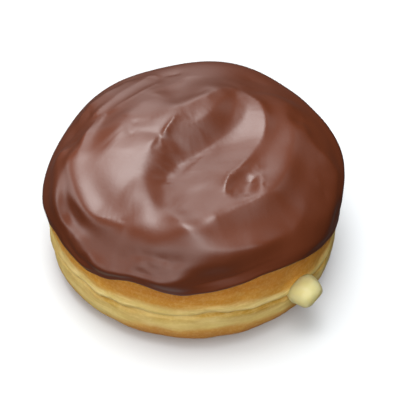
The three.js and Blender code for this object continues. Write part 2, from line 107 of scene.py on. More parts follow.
# dome profile: share of the way down (0 top, 1 shoulder) -> radius factor and height factor
_a = np.linspace(0, PI / 2, 4001)[::-1]
_r = np.cos(_a) ** (2 / DOME_ER)
_r[0] = 0.0
_z = np.sin(_a) ** (2 / DOME_EZ)
_s = np.concatenate([[0], np.cumsum(np.hypot(np.diff(_r * 44.6), np.diff(_z * (ICING_TOP - SHOULDER_Z))))])
_s /= _s[-1]


def side_r(z, t):
    """Radius of the dough's side at height z."""
    z = np.asarray(z, float)
    lower = dough_r(t)
    below = np.clip((BELLY_Z - z) / BELLY_Z, 0, 1)
    low = FLAT_R + (lower - FLAT_R) * (1 - below**3.2) ** (1 / 3.5)
    upper = icing_r(t) - ICING_SIDE_T
    high = lower + (upper - lower) * smooth((z - 17) / (SHOULDER_Z - 17))
    return np.where(z < BELLY_Z, low, high)


def crease_shape(c):
    """Outwards displacement at height c above the crease line."""
    return -CREASE_DEPTH * np.exp(-((c / CREASE_W) ** 2)) + LIP_PROUD * np.exp(-(((c - 1.8) / 1.2) ** 2))


def dough_at(rho, t, grow=0.0):
    """Dough surface by share of the way down, above and below the shoulder."""
    rho, t = np.broadcast_arrays(np.asarray(rho, float), np.asarray(t, float))
    rr, zz = np.interp(rho, _s, _r), np.interp(rho, _s, _z)
    under = UNDER_IN * smooth((above_rim(rho, t) - 0.8) / 4)
    r1 = (icing_r(t) - ICING_SIDE_T - under + grow) * rr
    z1 = SHOULDER_Z + (ICING_TOP - SHOULDER_Z - ICING_T + grow) * zz
    z2 = SHOULDER_Z - (rho - 1) * MAP
    r2 = side_r(z2, t) + crease_shape(z2 - crease_z(t)) - under + grow
    up = rho <= 1
    return pol(np.where(up, r1, r2), t, np.where(up, z1, z2))


def pol(r, t, z):
    r, t, z = np.broadcast_arrays(r, t, z)
    return np.stack([r * np.cos(t), r * np.sin(t), z], -1)


def rim_rho(t):
    """Share of the way down at which the icing ends."""
    return 1 + (SHOULDER_Z - (edge_z(t) + RIM_ROUND)) / MAP


def above_rim(rho, t):
    return (rim_rho(t) - rho) * MAP


def tuck(rho, t):
    """How far the icing's outside draws in towards the dough above the small bead along its lower edge."""
    e = above_rim(rho, t)
    return TUCK_IN * smooth((TUCK_H - e) / 3.6) - BEAD_OUT * np.exp(-(((e - BEAD_H) / 0.45) ** 2))


def icing_base(rho, t):
    """Smooth outside of the icing, before the swirls."""
    rho, t = np.broadcast_arrays(np.asarray(rho, float), np.asarray(t, float))
    rr, zz = np.interp(rho, _s, _r), np.interp(rho, _s, _z)
    r1, z1 = icing_r(t) * rr, SHOULDER_Z + (ICING_TOP - SHOULDER_Z) * zz
    z2 = SHOULDER_Z - (rho - 1) * MAP
    f = np.clip((rho - 1) / 0.12, 0, 1)
    r2 = side_r(z2, t) + ICING_SIDE_T + (ICING_EDGE_T - ICING_SIDE_T) * f
    up = rho <= 1
    return pol(np.where(up, r1, r2) - tuck(rho, t), t, np.where(up, z1, z2))


# ------------------------------------------------------------------ swirls of the icing
# name: (heights at even steps, spread to the left, spread to the right, power, places in mm on the unrolled dome)
SWIRLS = {
    "hook": ([2.68, 1.28, 2.64, .04, .03, 1.69, .1], 11.84, 2.27, 1.2, [(9.76, -15.95), (12.54, -12.56), (18.86, .51), (17.41, 8.64), (13.45, 13.05), (7.5, 21.98), (12.26, 19.38), (-6.2, .1)]),
    "dish": ([1.08, 4, 1.26, .17, 1.27, 5.92, 5.05, 1.5, .36], 6.65, 6.08, 1.3, [(12.22, 15.6), (.65, .1), (-13.44, -.58), (-11.15, -24.09), (-6.46, -28.06), (4.47, -38.33), (27.68, -30), (33.78, -14.98)]),
    "arm": ([-1.15, -.03, 2.01, 1.84, 2.77, 3.6, 4.26], 5.52, 7, 1.4, [(16.01, 24.93), (22.97, 24.45), (28.41, 19.04), (24.43, 8.95), (27.51, 2.19), (27.08, -8.78), (21.55, -19.48), (19.42, -21.05), (6.05, -29.63)]),
    "brim": ([.3, 2, .22, .21, .58, .04, -.16], 6.98, 1.2, 1.1, [(-32.13, -1.62), (-30.07, -6.3), (-27.18, 6.64), (-26.42, 6.73), (-26.1, 9.76), (-24.95, 9.38), (-18.08, 9.8), (-13.9, 13.49), (-11.2, 16.33), (-4.94, 21.11), (-2.2, 24.43), (5.29, 22.92), (14.96, 19.95)]),
    "fold": ([-.6, 3.9, 2.95, 2.26, -.88], 6.57, 2.76, 1.2, [(-34.07, -4.46), (-28.32, -24.73), (-18.46, -29.4)]),
    "ledge": ([2.67, 3.51, 3.1, 2.19, -.17], 2.44, 5.93, 1.6, [(-33.81, -9.01), (-35.27, -10.22), (-39.16, -22.34), (-31.78, -34.54)]),
    "band1": ([3.28, 3.92, 3.62, 2.55, .39], 7.07, 6.88, 1.6, [(-10.63, 12.43), (-19.4, .34), (-15.97, -3.61)]),
    "band2": ([4.12, 6.59, 2.25, .46, -2.62, -1.06], 6.91, 7.65, 1.6, [(3.27, 12.73), (-3.1, 5.53), (-15.91, -1.88), (-12.05, -8.44), (-23.98, -25.97)]),
    "crescent": ([.54, 1.3, 4.24, 4.03, 2.95], 4.01, 11.16, 1.6, [(-28.43, -.04), (-34.21, -12.76), (-27.21, -28.94), (-19.13, -30.95)]),
    "shelf": ([1.41, .71, .4, .66, -.5], 2.49, 1.65, 1.3, [(-27.7, 9.68), (-13.17, 26.05), (-13.18, 26.89), (-5.45, 28.14)]),
    "outer": ([2.1, 1.15, .35, -.69, -.46], 2.29, 3.66, 1.3, [(-31.85, 14.42), (-19.69, 24.89), (-24.97, 25.91), (-17.37, 29.6)]),
    "trough": ([.07, -1.17, -1.04, -.89, -2.37], 10.47, 2.59, 1.6, [(12.11, 12.23), (14.51, 6.24), (-6.45, -13.24)]),
    "hollow": ([5.22, 1.29, -1.87, -2.97, -3.38], 14.93, 5.03, 1.6, [(-8.7, -5.67), (-7.49, -10.36), (-6.88, -24.2), (-3.48, -25.3)]),
    "streak1": ([-.51, -1.23, -2.34, -.89], 3.07, 2.9, 1.4, [(-27.17, -40.99), (-11.13, -45.42), (-9.41, -46.2)]),
    "streak2": ([-.99, -.13, -1.75, -1.56], 3.22, 7.28, 1.4, [(-21.21, -39.38), (-7.41, -45.05), (-4.86, -41.9)]),
    "front_swell": ([8.47, 7.91, 4.06, 3.12, 2.38], 15.03, 3.96, 1.6, [(-31.95, -34.12), (-26.9, -40.84), (-16.42, -43.29), (7.86, -40.98)]),
    "lip_left": ([-1.3, -.26, 1.82, 1.62], 11.62, 3.97, 1.4, [(-36.08, 8.27), (-37.61, -3.27), (-33.11, -6.26)]),
    "lip_right": ([-.28, 1.01, 1.63, 1.48, 1.03, .85, .67], 4.46, 6.33, 1.4, [(28.56, 8.88), (30.35, 10.29), (31.45, 4.28), (34.63, 1.77), (39.78, .1), (44.53, -1.64), (44.57, -1.39), (45.63, -11.87), (43.52, -17.77), (36.68, -24.18)]),
    "bulge_right": ([.51, .84, 1, 1.3, -.5], 8.77, 2.96, 2, [(32.33, 25.63), (47.32, 9.62), (51.4, -8.07), (48.71, -16.82)]),
    "streak3": ([-.63, -1.05, -1.53, -.34, -.08], 3.11, 2.25, 1.5, [(-17.19, -38.44), (-12.71, -39.21), (-.81, -43.81)]),
    "rim_front": ([.47, 1.04, -.3, .29, .91, .09], 1.9, 2.1, 1.6, [(-38.86, -28.1), (-34.63, -36.85), (-11.89, -46.81), (2.38, -45.42)]),
    "pit": ([.17, .36, .69, .87, .3, .14, .1], 1.45, 1.19, 1.2, [(14.08, -9.7), (12.6, -11.96), (11.75, -13.62), (11.89, -13.87), (10.03, -14.76), (8.57, -22.1), (11.86, -22.07), (15.41, -23.37)]),
    "pit_bowl": ([-.51, -.69, -1.35], 4.16, 1.97, 2, [(10.2, -17.17), (12.13, -21.35), (14.37, -20.58)]),
    "pit_peak": ([.34, -.14, .39, -.59, -1.66], 2.47, 4.36, 1.3, [(17.63, -11.51), (18.63, -14.8), (17.4, -15.12), (17.71, -14.46), (15.4, -16.87)]),
    "pit_curl": ([-.04, 1.16, .59], 2.9, 5.14, 1.3, [(19.16, -18.68), (16.58, -18.15), (16.49, -18.04)]),
    "bubble": ([.6, -.68, -.46], 1.92, .7, 2, [(-7.6, -4.12), (-7.36, -3.57), (-10.31, -7.65)]),
    "bubble_rim": ([.68, 1.17, -.06, -.3, -.04], 1.16, .8, 1.3, [(-5.37, .48), (-5.26, .5), (-9.4, -7.42), (-6.93, -6.94), (-11.46, -10.15)]),
    "thin1": ([-.29, .46, .48, .46, -.11, .2], 1.46, 1.61, 1.2, [(-9.05, 27.07), (-9.77, 21.8), (-11.88, 18.66), (-15.19, 15.01), (-18.87, 12.21), (-20.4, 11.29), (-25.67, 6.58), (-26.91, 1.71), (-27.62, -.78)]),
    "thin2": ([.01, .27, .47, .17], .7, .7, 1.3, [(-22.99, 7.82), (-25.39, 8.42), (-25.08, 7.32), (-25.47, 7.4), (-27.24, 1.46)]),
    "thin3": ([.37, -.03, -.06, .37], 1.37, 1.85, 1.3, [(3.16, 8.11), (5.32, 10.99), (6.94, 12.83), (10.5, 14.5)]),
    "facet_a": ([-.04, -1.06, -.76, -.5], .95, 2.46, 1.4, [(-33.11, 12.04), (-31.16, 14.86), (-30.28, 11.83)]),
    "facet_b": ([.66, .84, .89, 1.13], 1.75, 2.3, 1.4, [(-40.11, .28), (-38.51, 1.17), (-36.28, -2.51)]),
    "flank": ([-.3, -.25, -.03, .27, -.27], 2.71, 3.67, 1.3, [(37.43, 2.87), (36.61, -2.18), (37.29, -8.37), (40.68, -13.2)]),
    "streak4": ([-.73, -.68, -.77, -.36], 2.65, 1.78, 1.5, [(-13.44, -41.43), (-11.99, -42.48), (-7.43, -43.57), (-6.33, -44.22)]),
}
# broad unevenness of the dome: (waves across, waves front to back, height)
WAVES = [(0, 1, 1.56), (0, 2, 3.31), (0, 3, 2.43), (0, 4, 1.55), (0, 5, 1.46), (0, 6, .96), (0, 7, .52), (1, 0, 2.17), (1, 1, 1.75), (1, 2, 3.27), (1, 3, 1.88), (1, 4, 2.52), (1, 5, 1), (1, 6, .59), (2, 0, 3.53), (2, 1, 5.01), (2, 2, 3.46), (2, 3, 3.23), (2, 4, 2.26), (2, 5, .77), (3, 0, 1.9), (3, 1, 2.07), (3, 2, 3.25), (3, 3, 1.61), (3, 4, 1.26), (4, 0, 1.59), (4, 1, 3.12), (4, 2, 2.65), (4, 3, .71), (5, 0, 1.55), (5, 1, 2.07), (5, 2, 1.83), (6, 0, .91), (6, 1, .87), (7, 0, .26)]


def spline(pts, n):
    """Centripetal Catmull-Rom curve through pts, n even steps."""
    p = np.asarray(pts, float)
    p = np.vstack([2 * p[0] - p[1], p, 2 * p[-1] - p[-2]])
    out = []
    for i in range(1, len(p) - 2):
        p0, p1, p2, p3 = p[i - 1:i + 3]
        k = [0.0]
        for a, b in ((p0, p1), (p1, p2), (p2, p3)):
            k.append(k[-1] + max(1e-6, np.hypot(*(b - a))) ** 0.5)
        s = np.linspace(k[1], k[2], 12, endpoint=False)[:, None]
        a1 = (k[1] - s) / (k[1] - k[0]) * p0 + (s - k[0]) / (k[1] - k[0]) * p1
        a2 = (k[2] - s) / (k[2] - k[1]) * p1 + (s - k[1]) / (k[2] - k[1]) * p2
        a3 = (k[3] - s) / (k[3] - k[2]) * p2 + (s - k[2]) / (k[3] - k[2]) * p3
        b1 = (k[2] - s) / (k[2] - k[0]) * a1 + (s - k[0]) / (k[2] - k[0]) * a2
        b2 = (k[3] - s) / (k[3] - k[1]) * a2 + (s - k[1]) / (k[3] - k[1]) * a3
        out.append((k[2] - s) / (k[2] - k[1]) * b1 + (s - k[1]) / (k[2] - k[1]) * b2)
    out = np.vstack(out + [p[-2:-1]])
    d = np.concatenate([[0], np.cumsum(np.hypot(*np.diff(out, axis=0).T))])
    q = np.linspace(0, d[-1], n)
    return np.stack([np.interp(q, d, out[:, 0]), np.interp(q, d, out[:, 1])], -1)


def along(heights, f):
    x = f * (len(heights) - 1)
    i = np.clip(np.floor(x).astype(int), 0, len(heights) - 2)
    h = np.asarray(heights, float)
    return h[i] + (h[i + 1] - h[i]) * smooth(x - i)


def stroke_height(high, left, right, power, pts, x, y):
    """One drag of the spatula: a long ridge or furrow that follows pts, blended softly over the nearest parts of its line."""
    n = int(np.clip(np.hypot(*np.diff(np.asarray(pts, float), axis=0).T).sum() / 1.3, 14, 110))
    p = spline(pts, n)
    n -= 1
    a, step = p[:-1], np.diff(p, axis=0)
    l2 = (step ** 2).sum(1)[:, None]
    rx, ry = x[None] - a[:, :1], y[None] - a[:, 1:]
    f = np.clip((rx * step[:, :1] + ry * step[:, 1:]) / l2, 0, 1)
    ex, ey = rx - f * step[:, :1], ry - f * step[:, 1:]
    d = np.sqrt(ex * ex + ey * ey)
    side = (step[:, :1] * ey - step[:, 1:] * ex) / (np.sqrt(l2) * np.maximum(d, 1e-6))
    width = right + (left - right) * (0.5 + 0.5 * np.clip(side, -1, 1))
    soft = 0.05 * (left + right) + 0.1
    dist = np.sqrt(d * d + soft * soft) - soft
    value = along(high, (np.arange(n)[:, None] + f) / n) * np.exp(-((dist / width) ** power))
    share = np.exp(-(d - d.min(0)))
    return (share * value).sum(0) / share.sum(0)


HELD_MID, HELD_SHOULDER = 12.0, 2.8   # the most that the icing stands off the smooth dome, in the middle and at the shoulder


def held(height, rho):
    """Swirls are deep in the middle of the dome and shallower where it turns down."""
    most = HELD_MID + (HELD_SHOULDER - HELD_MID) * smooth((rho - 0.45) / 0.3)
    return most * np.tanh(height / most)


def relief(u, v):
    """Height of the swirls above the smooth dome, mm, at a place on the unrolled dome."""
    total = np.zeros(u.shape)
    for i, j, a in WAVES:
        total += a * np.cos(PI * i * (u + 56) / 112) * np.cos(PI * j * (v + 56) / 112)
    for high, left, right, power, pts in SWIRLS.values():
        p = np.asarray(pts, float)
        reach = 3.2 * max(left, right)
        lo, hi = p.min(0) - reach, p.max(0) + reach
        near = (u > lo[0]) & (u < hi[0]) & (v > lo[1]) & (v < hi[1])
        if near.any():
            total[near] += stroke_height(high, left, right, power, pts, u[near], v[near])
    return held(total, np.hypot(u, v) / 50)


# ------------------------------------------------------------------ mesh building
def stitch(rings):
    """Closed surface from rings of points (first and last may be single points). Returns vertices and faces."""
    start, faces = [0], []
    for ring in rings:
        start.append(start[-1] + len(ring))
    for r in range(len(rings) - 1):
        n, m = len(rings[r]), len(rings[r + 1])
        a0, b0 = start[r], start[r + 1]
        if n == m:
            i = np.arange(n)
            j = (i + 1) % n
            faces += np.stack([a0 + i, a0 + j, b0 + j, b0 + i], -1).tolist()
            continue
        na, mb = (0 if n == 1 else n), (0 if m == 1 else m)
        i = j = 0
        while i < na or j < mb:
            if j >= mb or (i < na and (i + 1) / na <= (j + 1) / mb):
                faces.append([a0 + i % n, a0 + (i + 1) % n, b0 + j % m])
                i += 1
            else:
                faces.append([a0 + i % n, b0 + (j + 1) % m, b0 + j % m])
                j += 1
    return np.vstack(rings), faces


def mesh_object(name, verts_mm, faces, attributes=()):
    me = bpy.data.meshes.new(name)
    me.from_pydata((np.asarray(verts_mm) * MM).tolist(), [], faces)
    me.update()
    me.polygons.foreach_set("use_smooth", [True] * len(me.polygons))
    for key, values in attributes:
        att = me.attributes.new(key, "FLOAT", "POINT")
        att.data.foreach_set("value", np.asarray(values, np.float32))
    ob = bpy.data.objects.new(name, me)
    bpy.context.scene.collection.objects.link(ob)
    return ob


def ring_t(n):
    return -PI + 2 * PI * np.arange(n) / n


class Wobble:
    """Smooth seeded noise in space, about -1 to 1."""
    def __init__(self, seed, scale, n=28):
        g = np.random.default_rng(seed)
        d = g.normal(size=(n, 3))
        d /= np.linalg.norm(d, axis=1)[:, None]
        self.k = d * (2 * PI / scale) * g.uniform(0.6, 1.5, (n, 1))
        self.p = g.uniform(0, 2 * PI, n)
        self.n = n

    def __call__(self, P):
        return np.sin(P @ self.k.T + self.p).sum(-1) / math.sqrt(self.n)


# ------------------------------------------------------------------ the icing
def build_icing():
    rim = 620
    rings, along_ring = [], []
    k_max = 140
    def rho_of(f, t):
        return f * (1 + (rim_rho(t) - 1) * smooth((f - 0.8) / 0.2))

    def outer(rho, t):
        p = icing_base(rho, t)
        e = 0.002
        r1 = np.maximum(rho, 0.006)
        du = icing_base(r1 + e, t) - icing_base(r1 - e, t)
        dv = icing_base(r1, t + 0.01) - icing_base(r1, t - 0.01)
        n = np.cross(du, dv)
        n /= np.linalg.norm(n, axis=-1, keepdims=True)
        h = relief(MAP * rho * np.cos(t), MAP * rho * np.sin(t)) * smooth(above_rim(rho, t) / 3.5)
        return p + n * h[..., None], n

    rings.append(pol(np.array([0.0]), np.array([0.0]), np.array([0.0])))
    p0, _ = outer(np.array([0.0]), np.array([0.0]))
    rings[0] = p0
    for k in range(1, k_max + 1):
        t = ring_t(min(6 * k, rim))
        p, n = outer(rho_of(k / k_max, t), t)
        rings.append(p)
    t = ring_t(rim)
    rho0 = rho_of(1.0, t)
    po, n = outer(rho0, t)
    pi_ = dough_at(rho0, t, GAP)
    mid, hv = (po + pi_) / 2, (po - pi_) / 2
    down = icing_base(rho0 + 0.01, t) - icing_base(rho0 - 0.01, t)
    down /= np.linalg.norm(down, axis=-1, keepdims=True)
    for b in np.radians([12, 25, 40, 55, 70, 85, 100, 120, 140, 160, 180]):
        rings.append(mid + math.cos(b) * hv + math.sin(b) * RIM_ROUND * down)
    inner_k = 24
    for k in range(inner_k, 0, -1):
        tt = ring_t(min(6 * k, 144)) if k < inner_k else ring_t(144)
        rings.append(dough_at(rho_of(k / inner_k * 0.985, tt), tt, GAP))
    rings.append(dough_at(np.array([0.0]), np.array([0.0]), GAP))
    v, f = stitch(rings)
    f = [q[::-1] for q in f]
    return mesh_object("Icing", v, f)


# ------------------------------------------------------------------ the dough
def build_dough():
    n = 480
    t = ring_t(n)
    rings = [pol(np.array([0.0]), np.array([0.0]), np.array([0.0]))]
    crease_att, zone = [np.array([-14.0])], []
    for r, m in ((8, 24), (16, 96), (FLAT_R, n)):
        tt = ring_t(m)
        rings.append(pol(np.full(m, float(r)), tt, np.zeros(m)))
        crease_att.append(np.full(m, -14.0))
    cz = crease_z(t)
    warp = Wobble(3, 9.0)
    fine = Wobble(4, 2.6)
    heights = []
    for a in np.radians(np.linspace(84, 8, 22)):
        heights.append(BELLY_Z * (1 - math.sin(a) ** (2 / 3.2)) * np.ones(n))
    low = np.linspace(BELLY_Z * 0.93, 0, 2)[0]
    c = np.concatenate([np.linspace(-2.6, -1.6, 3), np.arange(-1.4, 3.2, 0.2), np.arange(3.5, 5.5, 0.5)])
    for q in c:
        heights.append(cz + q)
    top_z = SHOULDER_Z
    last = cz + c[-1]
    for f in np.linspace(0, 1, 20)[1:]:
        heights.append(last + (top_z - last) * f)
    for z in heights:
        z = np.asarray(z)
        p = pol(side_r(z, t), t, z)
        q = z - cz
        w = crease_shape(q + 0.25 * warp(p)) + 0.12 * warp(p) * smooth(z / 4) + 0.05 * fine(p) * smooth(z / 4)
        fade = smooth((SHOULDER_Z + 0.01 - z) / 3.0)
        rr = np.hypot(p[:, 0], p[:, 1]) + w * fade - UNDER_IN * smooth((z - edge_z(t) - RIM_ROUND - 0.8) / 4)
        rings.append(pol(rr, t, z))
        crease_att.append(q)
    for k in range(39, 0, -1):
        tt = ring_t(min(12 * k, n)) if k < 39 else ring_t(n)
        rings.append(dough_at(k / 40, tt, 0.0))
        crease_att.append(np.full(len(tt), 14.0))
    rings.append(dough_at(np.array([0.0]), np.array([0.0]), 0.0))
    crease_att.append(np.array([14.0]))
    v, f = stitch(rings)
    # height above the crease; the browned base reaches less far up at the left
    q = np.concatenate(crease_att)
    az = np.degrees(np.arctan2(v[:, 1], v[:, 0]))
    less = np.exp(-(((az + 140) / 32) ** 2))
    return mesh_object("Dough", v, f, [("crease", np.where(q < 0, q * (1 - 0.35 * less), q * (1 - 0.2 * less)))])


# ------------------------------------------------------------------ the custard
def build_custard():
    """The lump at the hole, cut off flat where the nozzle left it, and a short neck that runs into the dough."""
    rows, cols = 90, 120
    th = np.linspace(0, PI, rows + 1)
    rings = []
    wob, big = Wobble(11, 3.4), Wobble(12, 10.0)
    ca, sa = math.cos(HOLE_AZ), math.sin(HOLE_AZ)
    for a in th:
        ph = ring_t(cols) if 0 < a < PI else np.array([0.0])
        d = np.stack([np.full(ph.shape, math.cos(a)), math.sin(a) * np.cos(ph), math.sin(a) * np.sin(ph)], -1)
        # radius in each direction: a soft minimum of an oval and a few blunt facets
        oval = (np.abs(d / np.array(LUMP)) ** LUMP_POWER).sum(-1) ** (1 / LUMP_POWER)
        inv = oval ** 7
        for fx, fy, fz, far in LUMP_FACETS:
            q = np.array([fx, fy, fz]) / math.sqrt(fx * fx + fy * fy + fz * fz)
            inv = inv + np.clip(d @ q / far, 0, None) ** 7
        p = d / (inv ** (1 / 7))[:, None]
        g = 1 + 0.016 * wob(p) + 0.03 * big(p)
        x, y, z = (p * g[:, None]).T
        # inwards the lump narrows to the neck of the filling hole
        neck = smooth((-x - 1.0) / 5.0)
        y, z = y * (1 - 0.3 * neck), z * (1 - 0.3 * neck)
        rings.append(np.stack([(LUMP_OUT + x) * ca - y * sa, (LUMP_OUT + x) * sa + y * ca, HOLE_Z + z], -1))
    v, f = stitch(rings)
    f = [q[::-1] for q in f]
    return mesh_object("Custard", v, f)


# ------------------------------------------------------------------ materials
class Nodes:
    def __init__(self, name):
        self.mat = bpy.data.materials.new(name)
        self.mat.use_nodes = True
        self.t = self.mat.node_tree
        self.t.nodes.clear()
        self.out = self.add("ShaderNodeOutputMaterial")
        self.bsdf = self.add("ShaderNodeBsdfPrincipled")
        self.link(self.bsdf.outputs[0], self.out.inputs[0])

    def add(self, kind, **values):
        n = self.t.nodes.new(kind)
        for k, v in values.items():
            setattr(n, k, v)
        return n

    def link(self, a, b):
        self.t.links.new(a, b)

    def coords(self):
        return self.add("ShaderNodeTexCoord").outputs["Object"]

    def noise(self, scale, detail=3.0, rough=0.55, vector=None, distortion=0.0):
        n = self.add("ShaderNodeTexNoise")
        n.inputs["Scale"].default_value = scale
        n.inputs["Detail"].default_value = detail
        n.inputs["Roughness"].default_value = rough
        n.inputs["Distortion"].default_value = distortion
        self.link(vector or self.coords(), n.inputs["Vector"])
        return n.outputs["Fac"]

    def scaled(self, x, y, z):
        m = self.add("ShaderNodeMapping")
        m.inputs["Scale"].default_value = (x, y, z)
        self.link(self.coords(), m.inputs["Vector"])
        return m.outputs[0]

    def math(self, op, a, b=0.0, clamp=False):
        n = self.add("ShaderNodeMath", operation=op, use_clamp=clamp)
        for s, x in ((n.inputs[0], a), (n.inputs[1], b)):
            if isinstance(x, (int, float)):
                s.default_value = x
            else:
                self.link(x, s)
        return n.outputs[0]

    def ramp(self, fac, stops, mode="LINEAR"):
        n = self.add("ShaderNodeValToRGB")
        n.color_ramp.interpolation = mode
        e = n.color_ramp.elements
        while len(e) < len(stops):
            e.new(0.5)
        for el, (p, c) in zip(e, stops):
            el.position = p
            el.color = c if len(c) == 4 else (*c, 1)
        self.link(fac, n.inputs[0])
        return n.outputs[0]

    def mix(self, fac, a, b, mode="MIX"):
        n = self.add("ShaderNodeMix", data_type="RGBA", blend_type=mode)
        for s, x in ((n.inputs["Factor"], fac), (n.inputs["A"], a), (n.inputs["B"], b)):
            if isinstance(x, (int, float)):
                s.default_value = x
            elif isinstance(x, tuple):
                s.default_value = x if len(x) == 4 else (*x, 1)
            else:
                self.link(x, s)
        return n.outputs["Result"]

    def bump(self, height, strength, distance, after=None):
        n = self.add("ShaderNodeBump")
        n.inputs["Strength"].default_value = strength
        n.inputs["Distance"].default_value = distance
        self.link(height, n.inputs["Height"])
        if after is not None:
            self.link(after, n.inputs["Normal"])
        return n.outputs[0]

    def set(self, **values):
        for k, v in values.items():
            s = self.bsdf.inputs[k.replace("_", " ")]
            if isinstance(v, (int, float, tuple, list)):
                s.default_value = v
            else:
                self.link(v, s)


def srgb(r, g, b):
    return tuple(((c / 255) / 12.92 if c <= 10 else ((c / 255 + 0.055) / 1.055) ** 2.4) for c in (r, g, b))


# the fleck colour is both the pale flecks of the skin and a painted highlight along the lip
# the ochre colour is painted shade for the fold just under the crease
DOUGH_PALE, DOUGH_OCHRE_SHADE, DOUGH_FLECK_AND_HIGHLIGHT = srgb(222, 198, 132), srgb(193, 152, 56), srgb(246, 225, 168)
DOUGH_GOLD, DOUGH_DEEP = srgb(210, 154, 64), srgb(202, 138, 52)
DOUGH_LOW, DOUGH_BASE = srgb(212, 164, 88), srgb(198, 138, 62)


def icing_material():
    m = Nodes("icing")
    big = m.noise(28, 2.0)
    fine = m.noise(620, 3.0, 0.6)
    base = m.ramp(big, [(0.3, (0.130, 0.031, 0.0110)), (0.7, (0.150, 0.036, 0.0130))])
    rough = m.ramp(m.noise(90, 3.0), [(0.3, (0.28,) * 3), (0.75, (0.33,) * 3)])
    n = m.bump(m.noise(210, 3.0), 0.10, 0.0006)
    n = m.bump(fine, 0.06, 0.0002, n)
    n = m.bump(m.noise(2500, 2.0, 0.6), 0.10, 0.0001, n)
    m.set(Base_Color=base, Roughness=rough, Normal=n, Specular_IOR_Level=0.82)
    return m.mat


def dough_material():
    m = Nodes("dough")
    att = m.add("ShaderNodeAttribute", attribute_name="crease")
    streak = m.noise(1, 4.0, 0.6, m.scaled(55, 55, 300))
    thread = m.noise(1, 5.0, 0.6, m.scaled(90, 90, 620), 0.6)
    blotch = m.noise(85, 4.0, 0.55)
    wide = m.noise(30, 2.0, 0.5)
    mottle = m.noise(170, 5.0, 0.62)
    fine = m.noise(1100, 3.0, 0.7)
    # height above the crease line, roughened by noise, to a 0..1 ramp from -14 to +14 mm
    h = m.math("ADD", att.outputs["Fac"], m.math("MULTIPLY", m.math("SUBTRACT", blotch, 0.5), 3.0))
    h = m.math("ADD", h, m.math("MULTIPLY", m.math("SUBTRACT", streak, 0.5), 1.4))
    h = m.math("ADD", h, m.math("MULTIPLY", m.math("SUBTRACT", wide, 0.5), 3.4))
    f = m.math("MULTIPLY_ADD", h, 1 / 28)
    f.node.inputs[2].default_value = 0.5
    flat = m.math("MULTIPLY_ADD", att.outputs["Fac"], 1 / 28)
    flat.node.inputs[2].default_value = 0.5

    def at(mm):
        return 0.5 + mm / 28
    black, white = (0, 0, 0), (1, 1, 1)
    pale = DOUGH_PALE
    c = m.ramp(f, [(0.0, DOUGH_BASE), (at(-8.2), DOUGH_BASE), (at(-5.8), DOUGH_LOW), (at(-4.2), pale),
                   (at(2.4), pale), (at(4.3), DOUGH_GOLD), (at(8.0), DOUGH_DEEP), (1.0, DOUGH_DEEP)])
    # darker ochre under the crease, in places only: painted shade in the fold below the lip
    under = m.ramp(flat, [(at(-2.6), black), (at(-1.0), white), (at(-0.2), white), (at(0.35), black)])
    some = m.ramp(wide, [(0.36, (0.2, 0.2, 0.2)), (0.58, white)])
    c = m.mix(m.math("MULTIPLY", m.math("MULTIPLY", under, some), 0.95), c, DOUGH_OCHRE_SHADE)
    # stretched skin: pale threads and mottling in the light band, most of all just above the crease, where the gathered
    # threads also paint a highlight along the lip
    flecks_and_lip_highlight = m.ramp(flat, [(at(-6.5), black), (at(-3.0), (0.55,) * 3), (at(0.6), (0.4,) * 3), (at(1.3), white), (at(2.3), (0.9,) * 3), (at(4.6), (0.12,) * 3), (at(9), (0.08,) * 3)])
    c = m.mix(m.math("MULTIPLY", m.math("MULTIPLY", m.ramp(thread, [(0.47, black), (0.62, white)]), flecks_and_lip_highlight), 0.75), c, DOUGH_FLECK_AND_HIGHLIGHT)
    c = m.mix(m.math("MULTIPLY", m.math("MULTIPLY", m.ramp(mottle, [(0.5, black), (0.66, white)]), flecks_and_lip_highlight), 0.45), c, DOUGH_FLECK_AND_HIGHLIGHT)
    c = m.mix(m.math("MULTIPLY", m.ramp(fine, [(0.45, black), (0.75, white)]), 0.24), c, DOUGH_FLECK_AND_HIGHLIGHT)
    c = m.mix(0.30, c, m.ramp(streak, [(0.3, srgb(150, 104, 44)), (0.7, srgb(246, 224, 160))]), "SOFT_LIGHT")
    c = m.mix(0.28, c, m.ramp(mottle, [(0.35, srgb(116, 104, 88)), (0.65, srgb(160, 150, 134))]), "SOFT_LIGHT")
    n = m.bump(m.noise(240, 4.0, 0.6), 0.35, 0.0006)
    n = m.bump(streak, 0.3, 0.0006, n)
    n = m.bump(thread, 0.25, 0.0004, n)
    n = m.bump(fine, 0.25, 0.00025, n)
    m.set(Base_Color=c, Roughness=m.ramp(blotch, [(0.3, (0.5,) * 3), (0.7, (0.66,) * 3)]), Normal=n, Specular_IOR_Level=0.28,
          Subsurface_Weight=0.12, Subsurface_Radius=(1.0, 0.55, 0.25), Subsurface_Scale=0.002)
    return m.mat


def custard_material():
    m = Nodes("custard")
    big = m.noise(120, 3.0)
    c = m.ramp(big, [(0.3, srgb(214, 200, 138)), (0.7, srgb(224, 211, 154))])
    n = m.bump(m.noise(260, 3.0), 0.25, 0.0007)
    m.set(Base_Color=c, Roughness=m.ramp(m.noise(300, 2.0), [(0.3, (0.38,) * 3), (0.7, (0.5,) * 3)]), Normal=n, Specular_IOR_Level=0.4,
          Subsurface_Weight=1.0, Subsurface_Radius=(1.0, 0.85, 0.6), Subsurface_Scale=0.012)
    return m.mat


icing, dough, custard = build_icing(), build_dough(), build_custard()
for piece, node, mat in ((icing, "icing", icing_material()), (dough, "dough", dough_material()), (custard, "custard", custard_material())):
    piece.data.materials.append(mat)
    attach(piece, "root")
    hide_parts(node)

